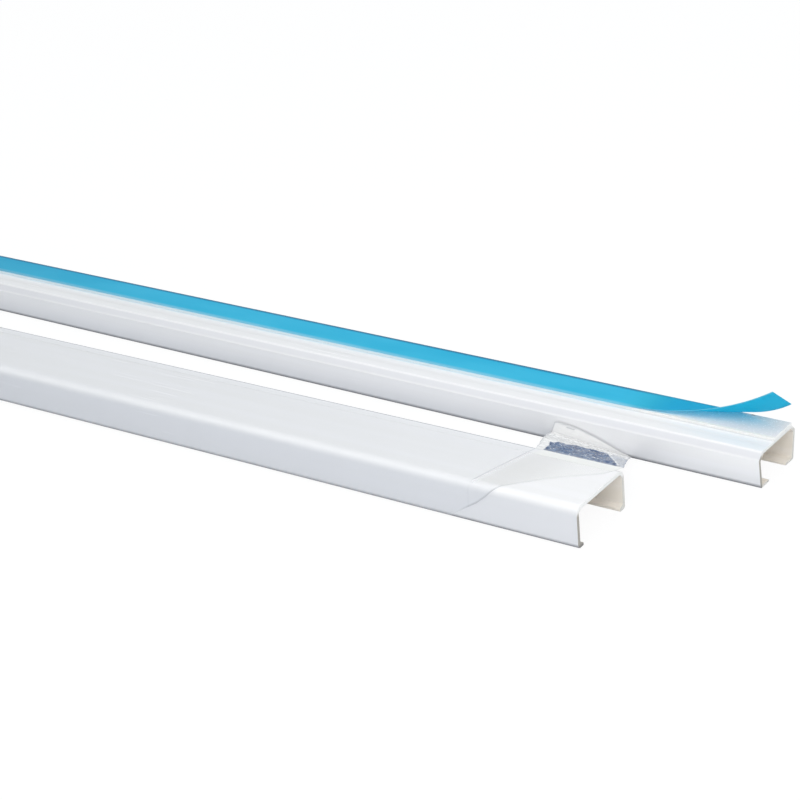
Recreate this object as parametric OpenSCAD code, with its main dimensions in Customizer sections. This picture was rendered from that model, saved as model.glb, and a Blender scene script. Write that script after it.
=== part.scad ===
// Two-piece stick-on cord raceway, lying with both channels open side down:
// the deep base channel with its foam tape, and the clip-on cover channel.
// All sizes are in millimetres. X runs along the channels, with the near ends at +X.

/* [Stock] */
// Length that both channels are cut to
stock_len = 400; // [150:10:1500]
// Gap on the floor between the two channels at the base's near end
channel_gap = 30.3; // [20:0.5:60]
// How far the base's near end lies ahead of the cover's
base_lead = 33.7; // [0:0.1:80]
// Angle by which the base lies turned away from the cover
base_turn = 1.1; // [0:0.1:2]

/* [Cover channel] */
// Outer width of the cover
cover_w = 30; // [20:0.5:60]
// Outer height of the cover
cover_h = 14.5; // [12:0.1:30]
// Wall thickness of the cover
cover_wall = 1.3; // [0.8:0.1:1.6]
// Outer radius of the cover's two long corners
cover_corner_r = 3.3; // [1.8:0.1:4]
// Outer radius of the feet of the cover's legs
cover_foot_r = 1.2; // [0.3:0.1:1.5]
// Radius that breaks the edges of the snap beads
cover_edge_r = 0.3; // [0.1:0.05:0.4]
// How far each snap bead reaches in from its leg
bead_reach = 1.9; // [0.6:0.1:2.2]
// Height of a snap bead
bead_h = 2; // [1.6:0.1:3]

/* [Base channel] */
// Wall thickness of the base
base_wall = 1.1; // [0.9:0.1:1.6]
// Play between the base and the cover on each side when they are clipped together
snap_play = 0.5; // [0.1:0.05:0.8]
// How far each leg leans in from its shoulder to its lip
leg_lean = 1.2; // [0:0.1:1.5]
// Width of the sloping shoulder that a snap bead hooks behind
shoulder_w = 2.5; // [1.5:0.1:3]
// Height of the sloping shoulder
shoulder_h = 2.5; // [1.5:0.1:3.5]
// How far each lip reaches in from the inner face of its leg
lip_reach = 4.8; // [2:0.1:6]
// Thickness of the lips
lip_t = 0.8; // [0.7:0.1:1.6]
// Radius along the outer edges of the web and shoulders
base_edge_r = 0.6; // [0.3:0.1:1]
// Outer radius of the feet of the base's legs
base_foot_r = 0.9; // [0.2:0.1:1.2]
// Radius inside the corners where the lips start
base_fillet_r = 0.4; // [0.2:0.05:0.5]
// Width of the score lines along the back of the web
score_w = 0.9; // [0.4:0.1:1.5]
// Depth of the score lines
score_depth = 0.3; // [0.1:0.05:0.5]

/* [Adhesive tape and liner] */
// Width of the foam tape
tape_w = 13; // [8:0.5:18]
// Thickness of the foam tape
tape_t = 1; // [0.5:0.1:1.5]
// Distance from the edge of the web to the tape
tape_inset = 0.1; // [0:0.1:2]
// Thickness of the release liner
liner_t = 0.15; // [0.1:0.01:0.3]
// Length of the liner's peeled end along its front edge
peel_len = 58.5; // [35:0.5:100]
// Length of the peeled end along its rear edge
peel_rear_len = 21.5; // [10:0.5:35]
// Height above the tape that the peeled end's front corner curls up to
peel_lift = 13.7; // [4:0.1:25]

/* [Protective film] */
// Thickness of the clear film
film_t = 0.12; // [0.08:0.01:0.3]
// Clearance between the bottom edges of the film and the floor
film_clear = 0.6; // [0.3:0.1:2]
// How far the film's rear edge stands out level past the flat of the cover's top
film_over = 3.3; // [0.5:0.1:5]
// How far from the near end the film has come off the cover's front face
film_peel = 49; // [30:1:90]
// How far the loose film stands out past the cover's near end
film_ahead = 0; // [0:0.1:5]
// Length of the film's loose end where it meets the base's front face
flap_len = 31.5; // [15:0.5:40]
// Height at which the loose end's far edge meets that face
flap_rest_h = 3.7; // [1:0.1:5]
// Height that the loose end's far corner reaches up that face
flap_top_h = 8.4; // [6:0.1:9.5]

/* [Hidden] */
$fn = 48;

// Overrun of the cuts
over = 1;

// Share of the web's width between its edge and a score line
score_share = 0.2;
// Share of the sideways play that is also left above the base when the cover is on
lid_play_share = 0.2;

// The base fits inside the cover: its web lies flush with the cover's leg ends, its tape proud of them
base_w = cover_w - 2 * cover_wall - 2 * snap_play;
base_h = cover_h - cover_wall - snap_play * lid_play_share;
mouth_w = base_w - 2 * leg_lean;
web_w = base_w - 2 * shoulder_w;
shoulder_z = base_h - shoulder_h;
score_y = web_w * (1 / 2 - score_share);

// Tape and liner on the back of the web, set towards the rear
tape_y = web_w / 2 - tape_inset - tape_w / 2;
tape_top = base_h + tape_t;

// Place of the base: its near end's middle, beside the cover
base_y = cover_w / 2 + channel_gap + mouth_w / 2;

// Peeled end of the liner: stations along it, and the shares that shape its edges. Each edge draws
// back from the near end, swings towards the rear by a share of the tape's width, and curls up.
peel_steps = 14;
draw_share = 0.055;
swing_bow_share = 1.9;
curl_bow_share = 0.75;
front_swing_share = 0.435;
rear_swing_share = 0.19;
rear_lift_share = 0.39;

// Loose end of the film: where its edges cross the cover's ridges, and where its far corner meets the
// base, as shares of its peeled length
front_ridge_share = 0.58;
rear_ridge_share = 0.67;
flap_far_share = 0.95;
// Its upper edge on the base, from the far corner to where it turns down, as shares of its length
// and height there
corner_share = 0.08;
turn_share = 0.59;
turn_height_share = 0.67;
// Play between the loose end and the base's face
film_seat = 0.05;

// Flat left at the tip of each lip
tip_flat = 0.05;

// Segments in each rounded corner of a section
small_steps = 5;
large_steps = 14;

// Points that round the corner at p, between its neighbours a and b, to radius r
function rounded(a, p, b, r, steps = small_steps) =
    let (to_a = (a - p) / norm(a - p), to_b = (b - p) / norm(b - p),
         half = acos(to_a * to_b) / 2,
         middle = p + (to_a + to_b) / norm(to_a + to_b) * r / sin(half),
         start = p + to_a * r / tan(half) - middle,
         end = p + to_b * r / tan(half) - middle,
         sweep = 180 - 2 * half)
    [for (i = [0:steps]) middle
        + (start * sin(sweep * (1 - i / steps)) + end * sin(sweep * i / steps)) / sin(sweep)];

// A section from its +Y half: each row is a corner, its radius and its number of segments.
// The half starts and ends on level lines that run to the middle.
function section(rows) =
    let (n = len(rows), corner = [for (row = rows) row[0]],
         first = [0, corner[0][1]], last = [0, corner[n - 1][1]],
         half = [for (i = [0:n - 1]) each rounded(
             i == 0 ? first : corner[i - 1], corner[i], i == n - 1 ? last : corner[i + 1],
             rows[i][1], rows[i][2])])
    concat(half, [for (i = [len(half) - 1:-1:0]) [-half[i][0], half[i][1]]]);

// Rise from 0 to 1 along a peeled edge: the bow is the share of it that is quadratic
function curl(t, bow) = bow * t * t + (1 - bow) * t * t * t;

// Liner: the two edges of its peeled end at share t, in the base's own frame
function peel_front(t) = [
    peel_len * (t - 1 - draw_share * t * t * t),
    tape_y - tape_w / 2 + tape_w * front_swing_share * curl(t, swing_bow_share),
    tape_top + peel_lift * curl(t, curl_bow_share)
];
function peel_rear(t) = [
    peel_rear_len * (t - 1 - draw_share * t * t * t),
    tape_y + tape_w / 2 + tape_w * rear_swing_share * curl(t, swing_bow_share),
    tape_top + peel_lift * rear_lift_share * curl(t, curl_bow_share)
];

// Moves a point from the base's frame to the cover's
function beside_cover(p) = [
    base_lead + p[0] * cos(base_turn) + p[1] * sin(base_turn),
    base_y - p[0] * sin(base_turn) + p[1] * cos(base_turn),
    p[2]
];

// A point on the base's front face at height z, in the cover's frame
function on_base(x, z) =
    beside_cover([x - base_lead, -mouth_w / 2 - leg_lean * z / shoulder_z - film_seat, z]);

// A skin over rows of two points and the step through its thickness; each row becomes a ring of four.
// Both its sides are split along the same diagonals, so that the wall keeps its thickness in a twist.
function skin_points(rows) = [
    for (row = rows) each [row[0], row[1], row[1] + row[2], row[0] + row[2]]
];
function skin_faces(rings) = concat(
    [[0, 1, 2, 3]],
    [for (i = [0:4:4 * rings - 8]) each [
        [i, i + 4, i + 5], [i, i + 5, i + 1],
        [i + 1, i + 5, i + 6], [i + 1, i + 6, i + 2],
        [i + 2, i + 6, i + 3], [i + 3, i + 6, i + 7],
        [i + 3, i + 7, i + 4], [i + 3, i + 4, i]
    ]],
    [[4 * rings - 1, 4 * rings - 2, 4 * rings - 3, 4 * rings - 4]]);

// The part's own bounding box, which the origin is centred under
near_x = max(film_ahead, beside_cover([0, base_w / 2, 0])[0]);
far_x = min(-stock_len, beside_cover([-stock_len, -base_w / 2, 0])[0]);
front_y = -cover_w / 2 - film_t;
rear_y = beside_cover([-stock_len, base_w / 2, 0])[1];
centre = [(near_x + far_x) / 2, (front_y + rear_y) / 2, 0];

module place_cover() translate(-centre) children();

module place_base() translate([base_lead, base_y, 0] - centre) rotate([0, 0, -base_turn]) children();

// Runs a section that is drawn in Y and Z along the stock, from its near end at X = 0
module run(length = stock_len)
    translate([-length, 0, 0]) rotate([90, 0, 90]) linear_extrude(length) children();

module base_channel() {
    foot = mouth_w / 2;
    inner_foot = foot - base_wall;
    lip_end = inner_foot - lip_reach;
    lip_r = lip_t / 2 - tip_flat;
    outline = section([
        [[web_w / 2, base_h], base_edge_r, small_steps],
        [[base_w / 2, shoulder_z], base_edge_r, small_steps],
        [[foot, 0], base_foot_r, small_steps],
        [[lip_end, 0], lip_r, small_steps],
        [[lip_end, lip_t], lip_r, small_steps],
        [[inner_foot, lip_t], base_fillet_r, small_steps],
        [[base_w / 2 - base_wall, shoulder_z - base_wall / 2], base_edge_r, small_steps],
        [[web_w / 2 - base_wall / 2, base_h - base_wall], base_edge_r, small_steps]
    ]);
    color("whitesmoke") place_base() run() difference() {
        polygon(outline);
        for (side = [-1, 1]) translate([side * score_y, base_h])
            polygon([[-score_w / 2, over], [-score_w / 2, 0], [0, -score_depth], [score_w / 2, 0],
                     [score_w / 2, over]]);
    }
}

module cover_channel() {
    side = cover_w / 2;
    inner = side - cover_wall;
    bead_tip = inner - bead_reach;
    outline = section([
        [[side, cover_h], cover_corner_r, large_steps],
        [[side, 0], cover_foot_r, small_steps],
        [[bead_tip, 0], cover_edge_r, small_steps],
        [[bead_tip, bead_h / 2], cover_edge_r, small_steps],
        [[inner, bead_h], cover_edge_r, small_steps],
        [[inner, cover_h - cover_wall], cover_corner_r - cover_wall, large_steps]
    ]);
    color("white") place_cover() run() polygon(outline);
}

module adhesive_tape() {
    color("ghostwhite") place_base() run()
        translate([tape_y - tape_w / 2, base_h]) square([tape_w, tape_t]);
}

// Liner on the tape, and its end that has been peeled up along a slanting line
module release_liner() {
    front = tape_y - tape_w / 2;
    rear = tape_y + tape_w / 2;
    rows = [for (i = [0:peel_steps])
        [peel_front(i / peel_steps), peel_rear(i / peel_steps), [0, 0, liner_t]]];
    color("deepskyblue") place_base() {
        translate([0, 0, tape_top]) linear_extrude(liner_t)
            polygon([[-stock_len, front], [-peel_len, front], [-peel_rear_len, rear],
                     [-stock_len, rear]]);
        polyhedron(skin_points(rows), skin_faces(len(rows)));
    }
}

// Points round the cover's front corner at a distance from it, from its top to its front face
function front_corner(distance) =
    let (side = -cover_w / 2 - distance, top = cover_h + distance)
    rounded([0, top], [side, top], [side, 0], cover_corner_r + distance, large_steps);

// Section of the film: down the cover's front face, round its front corner and level to its rear edge
module film_section(rear) {
    side = cover_w / 2;
    inner = front_corner(0);
    polygon(concat([[rear, cover_h + film_t]], front_corner(film_t),
        [[-side - film_t, film_clear], [-side, film_clear]],
        [for (i = [len(inner) - 1:-1:0]) inner[i]], [[rear, cover_h]]));
}

// Film: on the cover's front and top, peeled at the near end, and laid back over the gap and up the base
module protective_film() {
    side = cover_w / 2;
    top = cover_h + film_t + over;
    front_ridge = -film_peel * front_ridge_share;
    rear_ridge = -film_peel * rear_ridge_share;
    bend = side - cover_corner_r;
    rear = bend + film_over;
    near_bend = film_ahead - (film_ahead - front_ridge) * film_over / (side + rear);
    flap_far = -film_peel * flap_far_share;
    up = [0, 0, film_t];
    out = [0, -film_t, 0];
    rows = [
        [[near_bend, bend, cover_h], [rear_ridge, bend, cover_h], up],
        [[film_ahead, rear, cover_h], [rear_ridge, rear, cover_h], up],
        [on_base(flap_far + flap_len, film_clear), on_base(flap_far, flap_rest_h), up + out],
        [on_base(flap_far + flap_len * turn_share, flap_top_h * turn_height_share),
         on_base(flap_far + flap_len * corner_share, flap_top_h), out]
    ];
    color("aliceblue", 0.35) place_cover() {
        difference() {
            run() film_section(rear);
            translate([0, -bend, 0]) rotate([90, 0, 0]) linear_extrude(cover_corner_r + film_t + over)
                polygon([[-film_peel, -over], [-film_peel, 0], [front_ridge, top], [over, top],
                         [over, -over]]);
            linear_extrude(top)
                polygon([[front_ridge, -side - over], [front_ridge, -side], [near_bend, bend],
                         [over, bend], [over, -side - over]]);
            translate([rear_ridge, bend, 0]) cube([over - rear_ridge, film_over + over, top]);
        }
        polyhedron(skin_points(rows), skin_faces(len(rows)));
    }
}

base_channel();
cover_channel();
adhesive_tape();
release_liner();
protective_film();
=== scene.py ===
import bmesh
import bpy
from math import cos, pi, radians, sin
from mathutils import Matrix, Vector, noise


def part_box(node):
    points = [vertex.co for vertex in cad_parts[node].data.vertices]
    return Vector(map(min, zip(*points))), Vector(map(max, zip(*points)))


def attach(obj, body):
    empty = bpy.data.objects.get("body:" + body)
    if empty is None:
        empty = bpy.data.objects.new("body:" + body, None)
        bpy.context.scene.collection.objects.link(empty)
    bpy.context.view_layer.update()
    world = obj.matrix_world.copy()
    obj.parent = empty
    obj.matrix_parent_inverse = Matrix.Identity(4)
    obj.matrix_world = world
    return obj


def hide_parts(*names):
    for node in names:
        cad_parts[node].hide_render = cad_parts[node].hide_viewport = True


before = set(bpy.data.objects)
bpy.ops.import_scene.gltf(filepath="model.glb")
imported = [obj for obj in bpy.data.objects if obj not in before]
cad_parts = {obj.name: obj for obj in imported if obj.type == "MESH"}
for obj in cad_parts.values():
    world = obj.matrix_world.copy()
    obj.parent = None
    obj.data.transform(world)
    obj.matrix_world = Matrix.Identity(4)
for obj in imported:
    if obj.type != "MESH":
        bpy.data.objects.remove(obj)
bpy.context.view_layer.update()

mm = 0.001

# Both channels run along x to their near ends; y goes from the cover to the base.
coverLow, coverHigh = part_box("cover_channel")
coverEnd = Vector((coverHigh.x, (coverLow.y + coverHigh.y) / 2, 0))      # near end, middle, on the floor
baseTurn = radians(-1.1)
baseEnd = coverEnd + Vector((33.7, 57.3, 0)) * mm
stockLen = (coverHigh.x - coverLow.x) / mm
# the pieces below are drawn in millimetres from their channel's near end, then put in place
coverPlace = Matrix.Translation(coverEnd) @ Matrix.Scale(mm, 4)
basePlace = Matrix.Translation(baseEnd) @ Matrix.Rotation(baseTurn, 4, "Z") @ Matrix.Scale(mm, 4)
baseToCover = coverPlace.inverted() @ basePlace


def mix(a, b, t):
    return a + (b - a) * t


def ease(t):
    t = max(0.0, min(1.0, t))
    return t * t * (3 - 2 * t)


def along(table, key):      # value at key in a table of (key, value) pairs
    for (k0, v0), (k1, v1) in zip(table, table[1:]):
        if key <= k1:
            return mix(v0, v1, max(0.0, (key - k0) / (k1 - k0)))
    return table[-1][1]


# Shader maths on sockets
class Sock:
    def __init__(self, shader, link):
        self.shader, self.link = shader, link

    def maths(self, operation, *values, clamp=False):
        return self.shader.add("ShaderNodeMath", {"operation": operation, "use_clamp": clamp},
                               dict(enumerate(values)))

    def __add__(self, other): return self.maths("ADD", self, other)
    def __radd__(self, other): return self.maths("ADD", other, self)
    def __sub__(self, other): return self.maths("SUBTRACT", self, other)
    def __rsub__(self, other): return self.maths("SUBTRACT", other, self)
    def __mul__(self, other): return self.maths("MULTIPLY", self, other)
    def __rmul__(self, other): return self.maths("MULTIPLY", other, self)
    def absolute(self): return self.maths("ABSOLUTE", self)
    def clamped(self): return self.maths("ADD", self, 0.0, clamp=True)

    def step(self, low, high):      # smooth step from 0 at low to 1 at high
        return self.shader.add("ShaderNodeMapRange", {"interpolation_type": "SMOOTHSTEP"},
                               {"Value": self, "From Min": low, "From Max": high}, "Result")


class Shader:
    def __init__(self, owner, outKind="ShaderNodeOutputMaterial"):
        owner.use_nodes = True
        self.owner, self.tree = owner, owner.node_tree
        self.tree.nodes.clear()
        self.out = self.tree.nodes.new(outKind)

    def add(self, kind, settings=None, inputs=None, output=0):
        node = self.tree.nodes.new(kind)
        for key, value in (settings or {}).items():
            setattr(node, key, value)
        for key, value in (inputs or {}).items():
            if isinstance(value, Sock):
                self.tree.links.new(value.link, node.inputs[key])
            else:
                node.inputs[key].default_value = value
        return Sock(self, node.outputs[output])

    def colour(self, factor, first, second):
        return self.add("ShaderNodeMix", {"data_type": "RGBA", "clamp_factor": True},
                        {0: factor, 6: first, 7: second}, 2)

    def place(self, end, turn, stretch=(1, 1, 1)):      # metres from a channel's near end, along it
        return self.add("ShaderNodeMapping", {"vector_type": "TEXTURE"},
                        {"Vector": self.add("ShaderNodeTexCoord", output="Object"), "Location": tuple(end),
                         "Rotation": (0, 0, turn), "Scale": tuple(1 / s for s in stretch)})

    def flat(self, stretch=(1, 1, 1)):      # metres on the sheet as it was cut
        return self.add("ShaderNodeMapping", {}, {"Vector": self.add("ShaderNodeUVMap", {"uv_map": "flat"}),
                                                  "Scale": stretch})

    def axis(self, vector, name):
        return self.add("ShaderNodeSeparateXYZ", {}, {0: vector}, name)

    def share(self, name):
        return self.add("ShaderNodeAttribute", {"attribute_name": name}, {}, "Fac")

    def noise(self, vector, scale, detail=3.0, roughness=0.5, distortion=0.0):
        return self.add("ShaderNodeTexNoise", {"noise_dimensions": "3D"},
                        {"Vector": vector, "Scale": scale, "Detail": detail, "Roughness": roughness,
                         "Distortion": distortion})

    def bump(self, height, distance, strength=1.0, under=None):
        inputs = {"Height": height, "Distance": distance * mm, "Strength": strength}
        if under:
            inputs["Normal"] = under
        return self.add("ShaderNodeBump", {}, inputs, "Normal")

    def surface(self, **inputs):
        return self.add("ShaderNodeBsdfPrincipled", {}, {k.replace("_", " "): v for k, v in inputs.items()})

    def done(self, shader):
        self.tree.links.new(shader.link, self.out.inputs["Surface"])
        return self.owner


def newMaterial(name):
    return Shader(bpy.data.materials.new(name))


def paint(r, g, b):      # a colour as a picture shows it, 0 to 255
    return tuple((c / 12.92 if c <= 0.04045 else ((c + 0.055) / 1.055) ** 2.4)
                 for c in (r / 255, g / 255, b / 255)) + (1.0,)


def finishMesh(bm, name, materials, node, smoothTo=None):
    mesh = bpy.data.meshes.new(name)
    bm.to_mesh(mesh)
    bm.free()
    for material in materials:
        mesh.materials.append(material)
    if smoothTo:
        mesh.set_sharp_from_angle(angle=radians(smoothTo))
    piece = bpy.data.objects.new(name, mesh)
    bpy.context.scene.collection.objects.link(piece)
    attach(piece, "root")
    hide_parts(node)
    print("piece", name, len(mesh.polygons), "faces")
    return piece


# White PVC of both channels
pvc = {"skin": paint(248, 248, 250), "warm": paint(246, 246, 247), "low": paint(200, 203, 210),
       "foot": paint(84, 86, 94), "inside": paint(254, 248, 240), "insideWarm": paint(250, 243, 232),
       "cut": paint(220, 218, 212), "cutShade": paint(202, 198, 190), "cutWeb": paint(243, 243, 241),
       "cutFront": paint(168, 164, 156), "roughness": 0.25,
       "footFrom": 0.3 * mm, "footTo": 1.9 * mm, "footShare": 0.85,
       "glow": paint(188, 224, 242), "glowShare": 0.5, "shoulder": paint(220, 221, 226), "shoulderShare": 0.75,
       "tapeFootShadow": paint(196, 198, 206), "tapeFootShadowShare": 0.35,
       "webAt": (12 * mm, 13 * mm), "slopeFoot": (10.4 * mm, 11.3 * mm), "slopeTop": (12.3 * mm, 13.0 * mm),
       "cutWebAt": (11 * mm, 12.8 * mm), "cutFrontAt": (-11.6 * mm, -10.8 * mm),
       "cutFootAt": (0.4 * mm, 1.6 * mm), "cutFootShare": 0.5, "linesDrawn": (0.02, 1, 1)}


def pvcSkin(name, end, turn, low, inside=False, glowTo=None):
    s = newMaterial(name)
    run = s.place(end, turn, pvc["linesDrawn"])
    lines = s.noise(run, 1500, 2, 0.6)      # die lines of the extrusion
    broad = s.noise(run, 260, 2, 0.5)
    cloud = s.noise(s.place(end, turn), 14, 2, 0.5)
    height = s.axis(s.place(end, turn), "Z")
    if inside:
        # painted light: the insides are a brighter, warmer copy of the PVC colour
        tint = s.colour(broad.step(0.35, 0.65), pvc["inside"], pvc["insideWarm"])
    else:
        tint = s.colour(broad.step(0.35, 0.65), pvc["skin"], pvc["warm"])
        share, low0, low1 = low      # painted shade: how much the front darkens towards the foot, and between which heights
        tint = s.colour((1 - height.step(low0 * mm, low1 * mm)) * share, tint, pvc["low"])
        # painted shade along the foot, where the contact shadow falls
        tint = s.colour((1 - height.step(pvc["footFrom"], pvc["footTo"])) * pvc["footShare"], tint, pvc["foot"])
    if glowTo is not None:      # painted blue light from the liner on the web beside the tape
        y = s.axis(s.place(end, turn), "Y")
        onWeb = height.step(*pvc["webAt"])
        covered = 1 - s.axis(s.place(end, turn), "X").step(*tape["baredFrom"])
        beside = y.step(glowTo - 1.6 * mm, glowTo) * onWeb * covered
        tint = s.colour(beside * pvc["glowShare"], tint, pvc["glow"])
        # painted shadow along the foot of the bared tape
        tapeFootShadow = y.step(glowTo - 0.9 * mm, glowTo - 0.1 * mm) * onWeb * (1 - covered)
        tint = s.colour(tapeFootShadow * pvc["tapeFootShadowShare"], tint, pvc["tapeFootShadow"])
        # painted shade on the slope between the web and the front leg
        slope = height.step(*pvc["slopeFoot"]) * (1 - height.step(*pvc["slopeTop"]))
        tint = s.colour(slope * pvc["shoulderShare"], tint, pvc["shoulder"])
    gloss = pvc["roughness"] + (cloud - 0.5) * 0.10 + (lines - 0.5) * 0.08
    waves = s.bump(broad, 0.03, 0.5, s.bump(lines, 0.01, 0.6))
    return s.done(s.surface(Base_Color=tint, Roughness=gloss, Normal=waves, IOR=1.53))


def pvcCut(name, end, turn):      # sawn end: painted light on the web, painted shade on the front leg and its foot
    s = newMaterial(name)
    saw = s.noise(s.place(end, turn, (1, 0.25, 1)), 4200, 3, 0.65)
    speck = s.noise(s.place(end, turn), 1800, 4, 0.6)
    tint = s.colour(speck.step(0.55, 0.75), pvc["cut"], pvc["cutShade"])
    y, z = [s.axis(s.place(end, turn), name) for name in "YZ"]
    onWeb = z.step(*pvc["cutWebAt"])
    tint = s.colour(onWeb, tint, pvc["cutWeb"])
    onFront = (1 - y.step(*pvc["cutFrontAt"])) * (1 - onWeb)
    tint = s.colour(onFront, tint, pvc["cutFront"])
    atFoot = onFront * (1 - z.step(*pvc["cutFootAt"]))
    tint = s.colour(atFoot * pvc["cutFootShare"], tint, pvc["foot"])
    return s.done(s.surface(Base_Color=tint, Roughness=0.55, Normal=s.bump(saw, 0.04, 0.8), IOR=1.5))


# Channels: the CAD sections, with smooth roundings and edges broken at the sawn ends
channelCut = {"mergeAt": 0.002 * mm, "flatTo": 0.6, "endBevel": 0.10 * mm, "smoothTo": 32.0, "lipsBelow": 5.0}


def makeChannel(node, name, place, turn, low, glowTo=None):
    bm = bmesh.new()
    bm.from_mesh(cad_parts[node].data)
    bmesh.ops.remove_doubles(bm, verts=bm.verts, dist=channelCut["mergeAt"])
    bmesh.ops.dissolve_limit(bm, angle_limit=radians(channelCut["flatTo"]), verts=bm.verts, edges=bm.edges)
    run = Vector((cos(turn), sin(turn), 0))
    ends = [f for f in bm.faces if abs(f.normal.dot(run)) > 0.9]
    bmesh.ops.bevel(bm, geom=list({e for f in ends for e in f.edges}), affect="EDGES",
                    offset=channelCut["endBevel"], segments=2, profile=0.5, material=-1, clamp_overlap=True)
    toChannel, outward = place.inverted(), Vector((-sin(turn), cos(turn), 0))
    for face in bm.faces:
        spot = toChannel @ face.calc_center_median()
        faces = face.normal.dot(outward) * (1 if spot.y > 0 else -1)
        outside = faces > 0.3 or face.normal.z > 0.3 and spot.z > channelCut["lipsBelow"]
        face.smooth = True
        face.material_index = 1 if abs(face.normal.dot(run)) > 0.3 else 0 if outside else 2
    end = place.translation
    skins = [pvcSkin(name + "Skin", end, turn, low, False, glowTo), pvcCut(name + "Cut", end, turn),
             pvcSkin(name + "Inside", end, turn, low, True)]
    piece = finishMesh(bm, name, skins, node, channelCut["smoothTo"])
    level = piece.modifiers.new("flatFaces", "WEIGHTED_NORMAL")
    level.keep_sharp = True
    return piece


# Foam tape on the back of the base
tape = {"width": 13.0, "thick": 1.0, "middle": 4.1, "foot": 13.1, "round": 0.09, "wander": 0.05, "stations": 220,
        "foam": paint(252, 252, 250), "pores": paint(232, 233, 232), "glue": paint(250, 250, 250),
        "glueShade": paint(242, 246, 250), "glueFarShade": paint(238, 233, 233), "glow": paint(216, 240, 250),
        "blue": paint(160, 230, 252), "blueShare": 0.5, "cream": paint(243, 240, 234),
        "spotShadow": paint(96, 92, 90), "spotShadowAt": (-0.0137, 0.0102), "spotShadowShare": 0.7,
        "baredFrom": (-0.064, -0.046),      # along x, where the liner ends being flat on the tape
        "peelStart": (-0.0585, -0.0024), "peelAcross": (0.331, -0.943)}
tapeTop = tape["foot"] + tape["thick"]
tapeFront, tapeRear = tape["middle"] - tape["width"] / 2, tape["middle"] + tape["width"] / 2

makeChannel("cover_channel", "coverChannel", coverPlace, 0.0, (0.54, 11.6, 14.1))
makeChannel("base_channel", "baseChannel", basePlace, baseTurn, (0.42, 0.0, 10.6), tapeFront * mm)


def foamSides():
    s = newMaterial("tapeFoam")
    cells = s.noise(s.place(baseEnd, baseTurn), 3200, 4, 0.65)
    tint = s.colour(cells.step(0.45, 0.8), tape["foam"], tape["pores"])
    height = s.axis(s.place(baseEnd, baseTurn), "Z")
    covered = 1 - s.axis(s.place(baseEnd, baseTurn), "X").step(*tape["baredFrom"])
    # painted blue light, as let through by the liner
    tint = s.colour(height.step(12.9 * mm, 14.0 * mm) * covered, tint, tape["glow"])
    return s.done(s.surface(Base_Color=tint, Roughness=0.75, Normal=s.bump(cells, 0.05, 0.7), IOR=1.45))


def glueTop():
    s = newMaterial("tapeGlue")
    wave = s.noise(s.place(baseEnd, baseTurn), 90, 3, 0.5)
    grain = s.noise(s.place(baseEnd, baseTurn), 1400, 3, 0.6)
    tint = s.colour(wave, tape["glue"], tape["glueShade"])
    x, y = [s.axis(s.place(baseEnd, baseTurn), name) for name in "XY"]
    (x0, y0), (dx, dy) = tape["peelStart"], tape["peelAcross"]
    bared = (x - x0) * dx + (y - y0) * dy      # distance past the peel line
    # painted shade: the bared glue darkens away from the peel line
    tint = s.colour(bared.step(4 * mm, 12 * mm), tint, tape["glueFarShade"])
    # painted blue light and reflection from the lifted liner, near the peel line
    tint = s.colour((1 - bared.step(0, 6 * mm)) * tape["blueShare"], tint, tape["blue"])
    frontEdge = 1 - (y - tapeFront * mm).step(0.5 * mm, 1.6 * mm)
    tint = s.colour(frontEdge * bared.step(2 * mm, 7 * mm), tint, tape["cream"])
    # painted shadow: a small dark spot at the tape's rear edge under the lifted liner
    spotShadowX, spotShadowY = tape["spotShadowAt"]
    awayX = (x - spotShadowX).absolute().step(0.4 * mm, 0.9 * mm)
    awayY = (y - spotShadowY).absolute().step(0.25 * mm, 0.5 * mm)
    tint = s.colour((1 - (awayX + awayY).clamped()) * tape["spotShadowShare"], tint, tape["spotShadow"])
    film = s.bump(wave, 0.12, 0.4, s.bump(grain, 0.02, 0.5))
    return s.done(s.surface(Base_Color=tint, Roughness=0.26 + (grain - 0.5) * 0.14, Normal=film, IOR=1.55,
                            Coat_Weight=0.4, Coat_Roughness=0.18))


def makeTape():
    bm = bmesh.new()
    bmesh.ops.create_cube(bm, size=1.0)
    bmesh.ops.scale(bm, vec=(stockLen, tape["width"], tape["thick"]), verts=bm.verts)
    bmesh.ops.translate(bm, vec=(-stockLen / 2, tape["middle"], tape["foot"] + tape["thick"] / 2), verts=bm.verts)
    bmesh.ops.bevel(bm, geom=list(bm.edges), affect="EDGES", offset=tape["round"], segments=2, profile=0.5,
                    material=-1)
    for i in range(1, tape["stations"]):
        bmesh.ops.bisect_plane(bm, geom=bm.verts[:] + bm.edges[:] + bm.faces[:], dist=1e-5,
                               plane_co=(-stockLen * i / tape["stations"], 0, 0), plane_no=(1, 0, 0))
    for v in bm.verts:      # the slit sides of the foam wander a little
        side = (v.co.y - tape["middle"]) / (tape["width"] / 2)
        if abs(side) > 0.9:
            v.co.y += tape["wander"] * noise.noise(Vector((v.co.x * 0.18, side * 3, v.co.z * 0.9)))
    for face in bm.faces:
        face.smooth = True
        face.material_index = 1 if face.normal.z > 0.9 and face.calc_center_median().z > tapeTop - 0.05 else 0
    bmesh.ops.transform(bm, matrix=basePlace, verts=bm.verts)
    return finishMesh(bm, "foamTape", [foamSides(), glueTop()], "adhesive_tape", 35)


makeTape()

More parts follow.
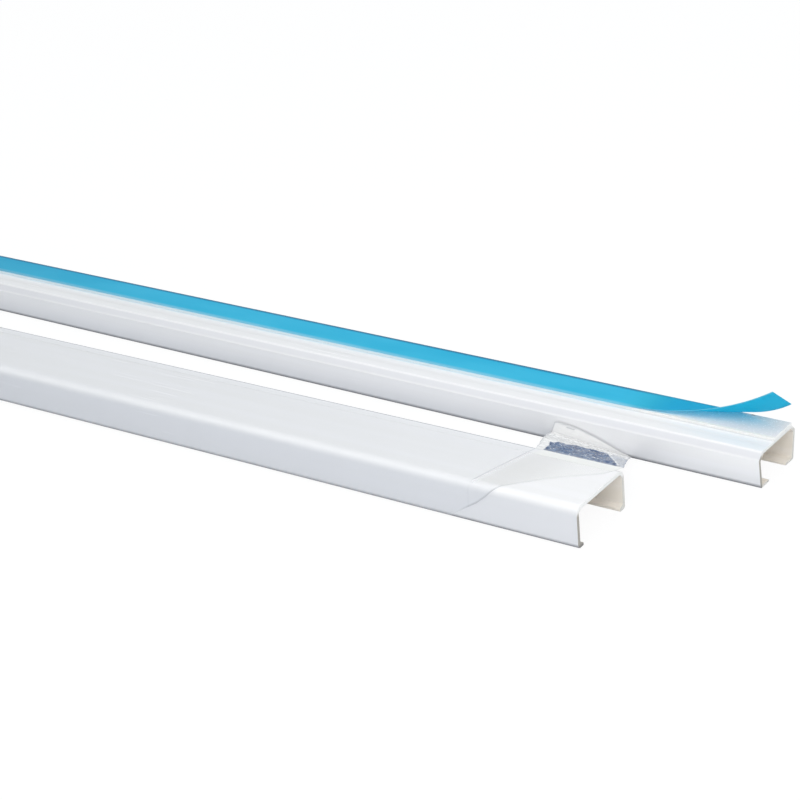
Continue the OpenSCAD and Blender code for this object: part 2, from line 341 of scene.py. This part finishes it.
# Blue release liner: flat on the tape, with its near end peeled up along a slanting line
liner = {"thick": 0.12, "seat": 0.005, "peelFront": 58.5, "peelRear": 21.5, "lift": 13.7, "rearLift": 0.39,
         "frontSwing": 0.435, "rearSwing": 0.19, "draw": 0.055, "swingBow": 1.9, "curlBow": 0.75,
         "across": 12, "tailRows": 60, "flatRows": 170,
         "deep": paint(18, 180, 222), "pale": paint(44, 188, 228), "dust": paint(120, 206, 232),
         "edge": paint(0, 118, 162), "edgeAt": (11.2 * mm, 12.4 * mm), "edgeShare": 0.9,
         "soft": paint(150, 212, 234), "softAt": (0.2 * mm, 2.6 * mm), "softShare": 0.65,
         "farAt": (-0.42, -0.24), "farShare": 0.3, "freeAt": (-0.060, -0.040), "free": paint(52, 222, 255),
         "under": paint(32, 170, 204), "glow": paint(120, 234, 252), "through": 0.62,
         "rim": paint(168, 222, 240), "rimAt": (0.25 * mm, 0.55 * mm)}


def blueFilm(name, freeTint):
    s = newMaterial(name)
    cloud = s.noise(s.flat((0.35, 1, 1)), 60, 3, 0.5)
    grain = s.noise(s.flat(), 1600, 3, 0.6)
    x, across = [s.axis(s.flat(), name) for name in "XY"]
    tint = s.colour(cloud.step(0.3, 0.7), liner["deep"], liner["pale"])
    # painted shade along the rear edge, a painted highlight along the front one, and painted shade deepening the
    # blue towards the far end
    tint = s.colour(across.step(*liner["edgeAt"]) * liner["edgeShare"], tint, liner["edge"])
    tint = s.colour((1 - across.step(*liner["softAt"])) * liner["softShare"], tint, liner["soft"])
    tint = s.colour(grain * 0.03, tint, liner["dust"])
    tint = s.colour((1 - x.step(*liner["farAt"])) * liner["farShare"], tint, liner["edge"])
    free = x.step(*liner["freeAt"])
    tint = s.colour(free, tint, freeTint)
    # painted highlight along the lifted front edge
    tint = s.colour((1 - across.step(*liner["rimAt"])) * free, tint, liner["rim"])
    ripple = s.bump(cloud, 0.10, 0.5, s.bump(grain, 0.01, 0.5))
    front = s.surface(Base_Color=tint, Roughness=0.45 + (grain - 0.5) * 0.12, Normal=ripple, IOR=1.3)
    through = s.add("ShaderNodeBsdfTranslucent", {}, {"Color": liner["glow"]})
    # light shows through the free end
    return s.done(s.add("ShaderNodeMixShader", {}, {0: free * liner["through"], 1: front, 2: through}))


def curl(t, bow):
    return bow * t * t + (1 - bow) * t ** 3


def peelEdge(t, length, side, swing, lift):
    return Vector((length * (t - 1 - liner["draw"] * t ** 3),
                   side + tape["width"] * swing * curl(t, liner["swingBow"]),
                   tapeTop + lift * curl(t, liner["curlBow"])))


def linerPoint(row, v):      # rows from -1 to 0 are the flat run, from 0 to 1 the peeled end
    if row >= 0:
        front = peelEdge(row, liner["peelFront"], tapeFront, liner["frontSwing"], liner["lift"])
        rear = peelEdge(row, liner["peelRear"], tapeRear, liner["rearSwing"], liner["lift"] * liner["rearLift"])
        return front.lerp(rear, v)
    peel = mix(liner["peelFront"], liner["peelRear"], v)
    return Vector((mix(-peel, -stockLen, -row), mix(tapeFront, tapeRear, v), tapeTop))


def makeLiner():
    rows = liner["flatRows"] + liner["tailRows"]
    bm = bmesh.new()
    layer = bm.loops.layers.uv.new("flat")
    bmesh.ops.create_grid(bm, x_segments=rows, y_segments=liner["across"], size=0.5)
    for vert in bm.verts:
        u, v = (vert.co.x + 0.5) * rows - liner["flatRows"], vert.co.y + 0.5
        row = u / liner["tailRows"] if u > 0 else u / liner["flatRows"]
        peel = mix(liner["peelFront"], liner["peelRear"], v)
        run = row * peel - peel if u > 0 else row * (stockLen - peel) - peel
        for loop in vert.link_loops:
            loop[layer].uv = (run * mm, v * tape["width"] * mm)
        vert.co = linerPoint(row, v) + Vector((0, 0, liner["seat"]))
    for face in bm.faces:
        face.smooth = True
    bmesh.ops.transform(bm, matrix=basePlace, verts=bm.verts)
    faces = [blueFilm("linerTop", liner["free"]), blueFilm("linerUnder", liner["under"])]
    piece = finishMesh(bm, "releaseLiner", faces, "release_liner")
    wall = piece.modifiers.new("thickness", "SOLIDIFY")
    wall.thickness, wall.offset, wall.material_offset = liner["thick"] * mm, 1.0, 1
    return piece


makeLiner()

# Clear protective film: tight round the cover, slack beyond its lift line, its loose end over the gap and
# up the base. Across the film, w is 0 on the middle of the cover's top and negative to the front.
film = {"seat": 0.02, "flatTop": 11.7, "round": 3.3, "legTop": 11.2, "foot": 0.6, "rearEdge": 15.0,
        "frontEdge": [(-27.5, -48.0), (-23.8, -42.6), (-20.4, -37.4), (-17.1, -33.5), (-13.9, -30.2),
                      (-12.4, -28.9), (-8.4, -24.6), (-4.4, -20.3), (-0.9, -16.1), (2.6, -11.9), (5.6, -7.6),
                      (8.7, -3.8), (15.0, 0.0)],
        "liftLine": [(-27.5, -40.9), (-16.4, -40.5), (-13.3, -40.2), (-10.4, -39.3), (-4.5, -38.0), (1.6, -36.5),
                     (7.5, -35.0), (15.0, -33.0)],
        "liftFrom": -20.6,
        "meets": [(0.0, (-79.9, 3.7)), (0.5, (-64.0, 2.0)), (1.0, (-48.2, 0.7))],
        "topEdge": [(0.0, (-77.7, 8.2)), (0.07, (-75.8, 8.6)), (0.3, (-68.4, 7.8)), (0.55, (-61.2, 5.6)),
                    (0.88, (-51.8, 1.9)), (1.0, (-48.2, 0.9))],
        "faceFoot": 12.0, "faceLean": 0.113, "faceSeat": 0.25, "upstand": 0.80,
        "slack": 0.45, "crumple": 0.9, "bow": 0.8,
        "runRows": 90, "slantRows": 16, "looseRows": 110, "across": 110, "flapRows": 90,
        "bandTop": [(0.0, 0.32), (0.1, 0.37), (0.55, 0.50), (0.75, 0.50), (1.0, 0.46)],
        "crease": [(0.10, 0.92), (0.68, 0.68)], "dash": (0.22, 0.95, 0.05, 0.012),
        "grey": paint(226, 229, 233), "milk": paint(212, 213, 210), "milkFar": paint(248, 249, 246),
        "side": paint(238, 241, 246), "rimTint": paint(150, 155, 165), "overTint": paint(241, 242, 245),
        "overLoose": paint(247, 248, 246),
        "glint": paint(252, 252, 252), "shade": paint(52, 77, 118), "shadePale": paint(116, 138, 172),
        "tight": 0.20, "slackVeil": 0.02, "flapVeil": 0.60, "upstandVeil": 0.2, "overVeil": 0.8,
        "dimVeil": 0.24, "brightVeil": 0.2, "shadeVeil": 0.25, "sparkVeil": 0.2, "scatter": 0.04,
        "flapPast": (9.0, 19.0), "upstandPast": (14, 16),
        "marks": ("loose", "flap", "shade", "crease", "past", "hem")}
quarter = film["round"] * pi / 2
film["frontWidth"] = film["flatTop"] + quarter + film["legTop"] - film["foot"]


def clearFilm():
    s = newMaterial("filmClear")
    # past is millimetres past the lift line, and hem millimetres from the border
    loose, flap, shade, crease, past, hem = [s.share(name) for name in film["marks"]]
    w = s.axis(s.flat(), "Y")
    crumple = s.noise(s.flat(), 170, 3, 0.5, 0.8)
    fine = s.noise(s.flat(), 420, 4, 0.62, 1.6)
    # painted glints on the band's crinkles and along the crease
    spark = (fine.step(0.60, 0.66) * shade + crease).clamped()
    onTop = w.step(-15 * mm, -11 * mm)
    # over is the strip that stands out past the cover, and lip its rim
    over = w.step((film["flatTop"] - 0.15) * mm, (film["flatTop"] - 0.05) * mm) * (1 - flap)
    lip = w.step((film["rearEdge"] - 0.5) * mm, (film["rearEdge"] - 0.15) * mm) * (1 - loose)
    liftEdge = (1 - past.absolute().step(0.10, 0.50)) * (0.3 + onTop * 0.7) * (1 - flap)
    # painted highlight beside the lift line
    bright = past.step(0.3, 0.7) * (1 - past.step(0.8, 1.6)) * onTop * (1 - flap)
    line = (1 - hem.step(0.10, 0.80)) * (1 - onTop * 0.5) * w.step(-26 * mm, -22 * mm)
    dim = (line * 0.8 + liftEdge * 0.5 + lip).clamped()
    milk = s.colour(past.step(8, 24), film["milk"], film["milkFar"])
    veil = s.colour(flap, s.colour(onTop, film["side"], s.colour(loose, film["grey"], milk)), film["glint"])
    veil = s.colour(dim, s.colour(bright, veil, film["glint"]), film["rimTint"])
    veil = s.colour(over * (1 - dim), veil, s.colour(loose, film["overTint"], film["overLoose"]))
    # painted shade: the dark gap seen through the film, as a mottled band
    dark = s.colour(fine.step(0.35, 0.62), film["shade"], film["shadePale"])
    tint = s.colour(spark, s.colour(shade, veil, dark), film["glint"])
    upstand = flap * past.step(*film["upstandPast"])
    cover = film["tight"] + loose * film["slackVeil"] + flap * film["flapVeil"] + upstand * film["upstandVeil"] \
        + over * film["overVeil"] + dim * film["dimVeil"] + bright * film["brightVeil"] \
        + shade * film["shadeVeil"] + spark * film["sparkVeil"]
    waves = s.bump(crumple, 0.3, flap * 0.6, s.bump(fine, 0.06, flap * 0.6))
    gloss = s.surface(Base_Color=tint, Roughness=0.16, Normal=waves, IOR=1.5)
    through = s.add("ShaderNodeBsdfTranslucent", {}, {"Color": film["glint"]})
    body = s.add("ShaderNodeMixShader", {}, {0: film["scatter"], 1: gloss, 2: through})
    bare = s.add("ShaderNodeBsdfTransparent")
    return s.done(s.add("ShaderNodeMixShader", {}, {0: cover.clamped(), 1: bare, 2: body}))


def wrapped(x, w, off):      # a point at x and w on the film, and off away from the cover
    if w >= -film["flatTop"]:
        return Vector((x, w, film["legTop"] + film["round"] + off))
    if w >= -film["flatTop"] - quarter:
        turn = (-w - film["flatTop"]) / film["round"]
        reach = film["round"] + off
        return Vector((x, -film["flatTop"] - reach * sin(turn), film["legTop"] + reach * cos(turn)))
    return Vector((x, -film["flatTop"] - film["round"] - off, film["legTop"] + film["flatTop"] + quarter + w))


def onBase(spot):      # a spot (x, z) on the base's front face, in the cover's millimetres
    x, z = spot
    return baseToCover @ Vector((x, -film["faceFoot"] - film["faceLean"] * z - film["faceSeat"], z))


def tableSpot(table, key):      # as along, for (x, z) spots
    return (along([(k, spot[0]) for k, spot in table], key), along([(k, spot[1]) for k, spot in table], key))


def farFrom(spot, line):      # distance of a spot from a line of points
    best = 1e9
    for a, b in zip(line, line[1:]):
        t = max(0.0, min(1.0, (spot - a).dot(b - a) / (b - a).length_squared))
        best = min(best, (spot - a.lerp(b, t)).length)
    return best


def filmRow(u):      # ends of a row on the cover as (x, w): 0 full width, 1 at the lift line, 2 at the tip
    rear = film["rearEdge"]
    if u <= 1:
        w = mix(-film["frontWidth"], film["liftFrom"], u)
        return (along(film["frontEdge"], w), w), (mix(film["frontEdge"][0][1], film["liftLine"][-1][1], u), rear)
    w = mix(film["liftFrom"], rear - 0.15, u - 1)
    return (along(film["frontEdge"], w), w), (mix(film["liftLine"][-1][1], film["frontEdge"][-1][1], u - 1), rear)


def makeFilm():
    bm = bmesh.new()
    layer = bm.loops.layers.uv.new("flat")
    loose, flap, shade, crease, past, hem = [bm.verts.layers.float.new(name) for name in film["marks"]]
    border = [Vector((x, w)) for w, x in film["frontEdge"]]
    run, slant, rows = film["runRows"], film["slantRows"], film["looseRows"]
    total = run + slant + rows
    startX = film["frontEdge"][0][1]

    bmesh.ops.create_grid(bm, x_segments=total, y_segments=film["across"], size=0.5)
    wrapVerts = set(bm.verts)
    for vert in wrapVerts:
        i, v = round((vert.co.x + 0.5) * total), vert.co.y + 0.5
        if i <= run:
            x, w = mix(-stockLen, startX, i / run), mix(-film["frontWidth"], film["rearEdge"], v)
        else:
            i -= run
            front, rear = filmRow(i / slant if i <= slant else 1 + (i - slant) / rows)
            x, w = mix(front[0], rear[0], v), mix(front[1], rear[1], v)
        vert[past] = x - along(film["liftLine"], w)
        vert[hem] = farFrom(Vector((x, w)), border)
        free = ease(vert[past] / 5)
        fold = noise.noise(Vector((x * 0.16, w * 0.16, 4)))
        rise = free * film["slack"] * (0.7 + fold) * ease((film["flatTop"] - w) / 6)
        vert[loose] = free
        for loop in vert.link_loops:
            loop[layer].uv = (x * mm, w * mm)
        vert.co = wrapped(x, w, film["seat"] + rise)

    made = bmesh.ops.create_grid(bm, x_segments=rows, y_segments=film["flapRows"], size=0.5)
    for vert in made["verts"]:
        s, r = vert.co.x + 0.5, vert.co.y + 0.5
        x = filmRow(1 + s)[1][0]
        ridge = wrapped(x, film["rearEdge"], film["seat"])
        meet = onBase(tableSpot(film["meets"], s))
        if r <= film["upstand"]:
            t = r / film["upstand"]
            spot = ridge.lerp(meet, t)
            calm = ease(t * 6) * ease((1 - t) * 5)
            folds = abs(noise.noise(Vector((spot.x * 0.35, spot.y * 0.30, 1)))) \
                + 0.5 * abs(noise.noise(Vector((spot.x * 0.9, spot.y * 0.8, 2))))
            spot.z += calm * (film["bow"] * sin(pi * t) - film["crumple"] * (folds - 0.3))
        else:
            t = (r - film["upstand"]) / (1 - film["upstand"])
            spot = meet.lerp(onBase(tableSpot(film["topEdge"], s)), t)
            spot.y -= 0.35 * t * abs(noise.noise(Vector((spot.x * 0.5, spot.z * 0.6, 3))))
        vert[loose] = vert[flap] = 1.0
        ds, dr, halfLong, halfHigh = film["dash"]
        inDash = abs(s - ds) < halfLong and abs(r - dr) < halfHigh
        vert[hem] = 0.0 if inDash else min(s * 30 + (1 - ease(r * 8)) * 0.4, (1 - s) * 30, (1 - r) * 18)
        vert[past] = mix(*film["flapPast"], r)
        torn = 0.03 * noise.noise(Vector((s * 9, r * 9, 7)))
        # painted highlight along a crease, with the painted shade of the band paler in a crinkled patch beyond it
        fold = along(film["crease"], r)
        vert[crease] = ease(1 - abs(s - fold) / 0.018) * ease((r - 0.06) / 0.05) * ease((0.72 - r) / 0.05)
        inside = ease((s - 0.07 - 0.14 * r + torn) / 0.02) * ease(r / 0.02) \
            * ease((along(film["bandTop"], s) - r + torn) / 0.02)
        vert[shade] = inside * mix(1.0, 0.42, ease((s - fold) / 0.02 + 0.5))
        for loop in vert.link_loops:
            loop[layer].uv = (x * mm, (film["rearEdge"] + r * 40) * mm)
        vert.co = spot
    bmesh.ops.remove_doubles(bm, verts=bm.verts, dist=0.001)
    for face in bm.faces:
        face.smooth = True
    bmesh.ops.transform(bm, matrix=coverPlace, verts=bm.verts)
    piece = finishMesh(bm, "protectiveFilm", [clearFilm()], "protective_film")
    return piece


makeFilm()

# Floor, backdrop and light
floorLook = {"half": 3.0, "paint": paint(236, 238, 241), "shown": 0.88, "glow": 1.04}


def makeFloor():
    bm = bmesh.new()
    bmesh.ops.create_grid(bm, x_segments=1, y_segments=1, size=floorLook["half"])
    mesh = bpy.data.meshes.new("floor")
    bm.to_mesh(mesh)
    bm.free()
    s = newMaterial("floorWhite")
    matt = s.surface(Base_Color=floorLook["paint"], Roughness=0.9)
    white = s.add("ShaderNodeEmission", {}, {"Color": (1, 1, 1, 1), "Strength": floorLook["glow"]})
    seen = s.add("ShaderNodeLightPath", output="Is Camera Ray") * floorLook["shown"]
    mesh.materials.append(s.done(s.add("ShaderNodeMixShader", {}, {0: seen, 1: matt, 2: white})))
    floor = bpy.data.objects.new("floor", mesh)
    bpy.context.scene.collection.objects.link(floor)


makeFloor()

studio = {"sky": (0.935, 0.975, 1.0, 1), "skyLevel": 0.61,
          "lamps": [("topSoft", (0.15, 0.30, 1.4), (0, 0, 0), 1.5, 3.8, (1, 0.99, 0.98)),
                    ("ridgeSoft", (-0.85, -0.62, 1.10), (0, 0, 0), 0.75, 2.2, (1, 0.99, 0.98)),
                    ("nearTop", (0.50, -0.10, 0.50), (0.17, 0, 0), 0.3, 0.68, (1, 0.98, 0.97)),
                    ("nearFront", (0.24, -0.50, 0.24), (0.17, 0, 0.01), 0.25, 0.44, (1, 0.96, 0.92)),
                    ("nearLow", (0.55, -0.34, 0.18), (0.20, 0.02, 0.01), 0.25, 0.30, (1, 0.98, 0.97))]}


def makeLight():
    world = bpy.data.worlds.new("studio")
    bpy.context.scene.world = world
    s = Shader(world, "ShaderNodeOutputWorld")
    sky = s.add("ShaderNodeBackground", {}, {"Color": studio["sky"], "Strength": studio["skyLevel"]})
    white = s.add("ShaderNodeBackground", {}, {"Color": (1, 1, 1, 1), "Strength": 1.0})
    seen = s.add("ShaderNodeLightPath", output="Is Camera Ray")
    s.done(s.add("ShaderNodeMixShader", {}, {0: seen, 1: sky, 2: white}))
    for name, place, aim, size, watts, tint in studio["lamps"]:
        data = bpy.data.lights.new(name, "AREA")
        data.shape, data.size, data.energy, data.color = "DISK", size, watts, tint
        lamp = bpy.data.objects.new(name, data)
        bpy.context.scene.collection.objects.link(lamp)
        lamp.location = place
        lamp.rotation_mode = "QUATERNION"
        lamp.rotation_quaternion = (Vector(aim) - Vector(place)).to_track_quat("-Z", "Y")


makeLight()

# Camera: the middle of the cover's near end, on the floor, is seen at a pixel of the 800 x 800 picture
lens = {"pixels": 1912.9, "turn": 37.273, "tilt": 25.152, "roll": -5.517, "seenAt": (602.43, 528.30),
        "away": 608.90}


def makeCamera():
    data = bpy.data.cameras.new("camera")
    data.sensor_width, data.lens = 36.0, 36.0 * lens["pixels"] / 800
    data.clip_start, data.clip_end = 0.01, 20
    camera = bpy.data.objects.new("camera", data)
    bpy.context.scene.collection.objects.link(camera)
    a, e, roll = radians(lens["turn"]), radians(lens["tilt"]), radians(lens["roll"])
    back = Vector((sin(a) * cos(e), -cos(a) * cos(e), sin(e)))
    level = Vector((cos(a), sin(a), 0))
    upright = back.cross(level)
    right = level * cos(roll) + upright * sin(roll)
    up = upright * cos(roll) - level * sin(roll)
    dx, dy = [(seen - 400) / lens["pixels"] for seen in lens["seenAt"]]
    camera.matrix_world = Matrix((right, up, back)).transposed().to_4x4()
    camera.location = coverEnd + (back - right * dx + up * dy) * lens["away"] * mm
    bpy.context.scene.camera = camera


makeCamera()

bpy.context.scene.view_settings.view_transform = "Standard"
